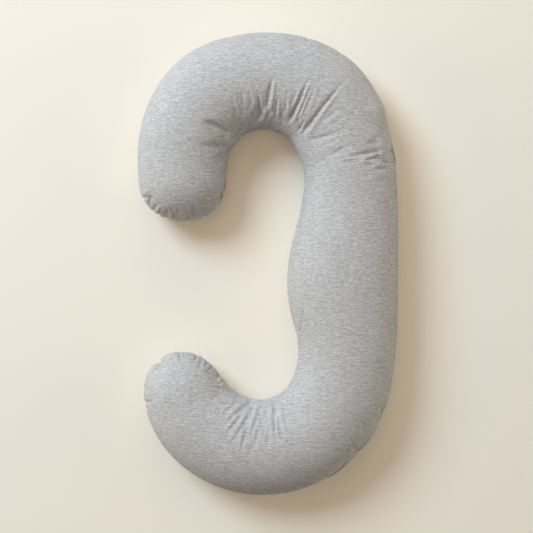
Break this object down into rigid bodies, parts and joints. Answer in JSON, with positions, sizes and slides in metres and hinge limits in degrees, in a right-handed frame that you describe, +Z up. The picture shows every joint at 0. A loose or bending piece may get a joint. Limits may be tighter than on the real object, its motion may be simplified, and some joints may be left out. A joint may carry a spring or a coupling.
{
  "type": "body pillow",
  "caption": "C-shaped full-body pillow in grey marl jersey, filled, with a seam all round, gathered bends and rounded ends, lying flat.",
  "frame": {"origin": "on the surface the pillow lies on, under the middle of its outline", "axes": "+X towards the straight back of the C, +Y along its length towards the fuller hook, +Z up through its thickness"},
  "size_m": [0.7346, 1.3001, 0.2007],
  "materials": {
    "cover": "matte grey marl jersey knit"
  },
  "bodies": {
    "root": {"pillow": "cover"}
  },
  "joints": []
}
